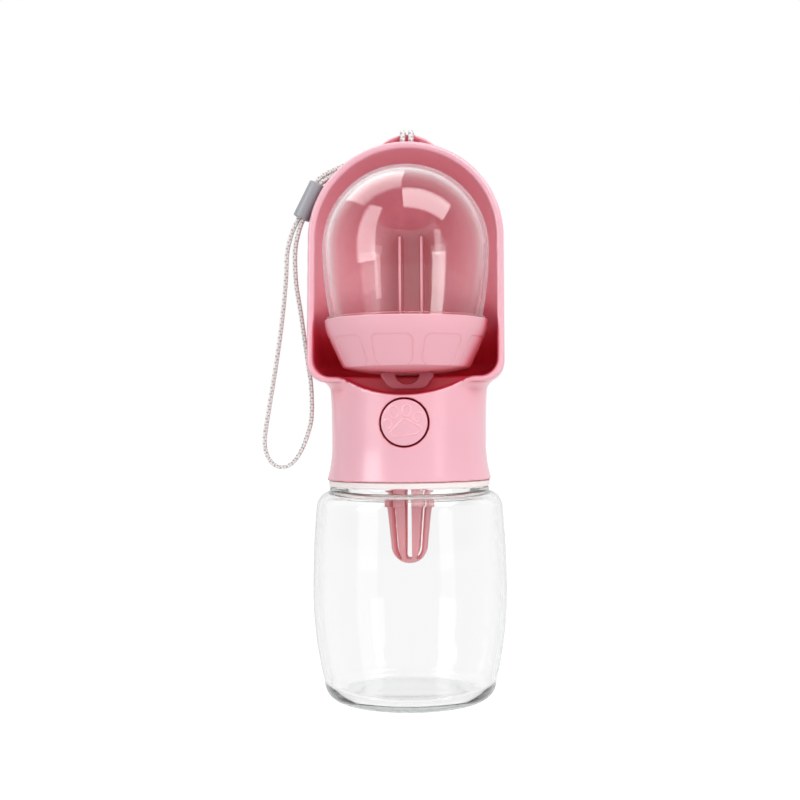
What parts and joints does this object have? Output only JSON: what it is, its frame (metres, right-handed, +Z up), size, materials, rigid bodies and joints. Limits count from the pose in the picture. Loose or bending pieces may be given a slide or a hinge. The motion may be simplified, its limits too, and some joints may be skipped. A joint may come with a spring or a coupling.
{
  "type": "dog travel water bottle",
  "caption": "Clear screw-on bottle with a scoop-shaped drinking head, push-button valve, domed food cup with soft lid, slotted filter cage and braided wrist strap.",
  "frame": {"origin": "centre of the bottle's flat base, on the surface it stands on", "axes": "+Z up along the bottle, front (button and open trough) towards -Y, strap on the -X side"},
  "size_m": [0.0925, 0.0801, 0.2144],
  "materials": {
    "clear_plastic": "clear, polished",
    "clear_silicone": "translucent, satin",
    "pink_plastic": "gloss moulded",
    "cage_plastic": "gloss moulded",
    "pale_plastic": "satin moulded",
    "seal_silicone": "satin",
    "spring_steel": "drawn wire",
    "pink_silicone": "matte, soft",
    "grey_plastic": "satin moulded",
    "braided_cord": "braided grey and white"
  },
  "bodies": {
    "bottle_body": {"bottle": "clear_plastic"},
    "collar_body": {"collar_ring": "clear_silicone"},
    "head_body": {"head_shell": "pink_plastic", "valve_plate": "pale_plastic", "plate_seal": "seal_silicone", "mouth_gasket": "seal_silicone", "button_spring": "spring_steel", "button_seal": "seal_silicone", "valve_spring": "spring_steel", "strap_hitch": "braided_cord", "strap_ferrule": "grey_plastic", "strap_cord": "braided_cord"},
    "button_body": {"button_cap": "pink_plastic", "button_slider": "pale_plastic"},
    "valve_body": {"valve_stem": "pale_plastic", "valve_pin": "spring_steel", "valve_disc": "seal_silicone"},
    "cage_body": {"filter_cage": "cage_plastic"},
    "lid_body": {"cup_lid": "pink_silicone"},
    "cup_body": {"food_cup": "clear_plastic"}
  },
  "joints": [
    {"name": "head_turn", "type": "hinge", "parent": "bottle_body", "child": "collar_body", "pos_m": [0, 0, 0.0813], "axis": [0, 0, 1], "range_deg": [0, 380]},
    {"name": "head_rise", "type": "slide", "parent": "collar_body", "child": "head_body", "axis": [0, 0, 1], "range_m": [0, 0.0032]},
    {"name": "button_press", "type": "slide", "parent": "head_body", "child": "button_body", "axis": [0, 1, 0], "range_m": [0, 0.004], "stiffness_N_per_m": 300, "springref_m": -0.003, "deforming": ["button_spring"]},
    {"name": "valve_lift", "type": "slide", "parent": "head_body", "child": "valve_body", "axis": [0, 0, 1], "range_m": [0, 0.003], "stiffness_N_per_m": 200, "springref_m": -0.003, "deforming": ["valve_spring"]},
    {"name": "container_slide", "type": "slide", "parent": "head_body", "child": "lid_body", "axis": [0, -1, 0], "range_m": [0, 0.06]},
    {"name": "cup_lift", "type": "slide", "parent": "lid_body", "child": "cup_body", "axis": [0, 0, 1], "range_m": [0, 0.004]},
    {"name": "cage_pull", "type": "slide", "parent": "head_body", "child": "cage_body", "axis": [0, 0, -1], "range_m": [0, 0.012]}
  ],
  "couplings": [
    {"joint": "head_rise", "follows": "head_turn", "m_per_rad": 0.00047746},
    {"joint": "valve_lift", "follows": "button_press", "ratio": 0.75}
  ]
}
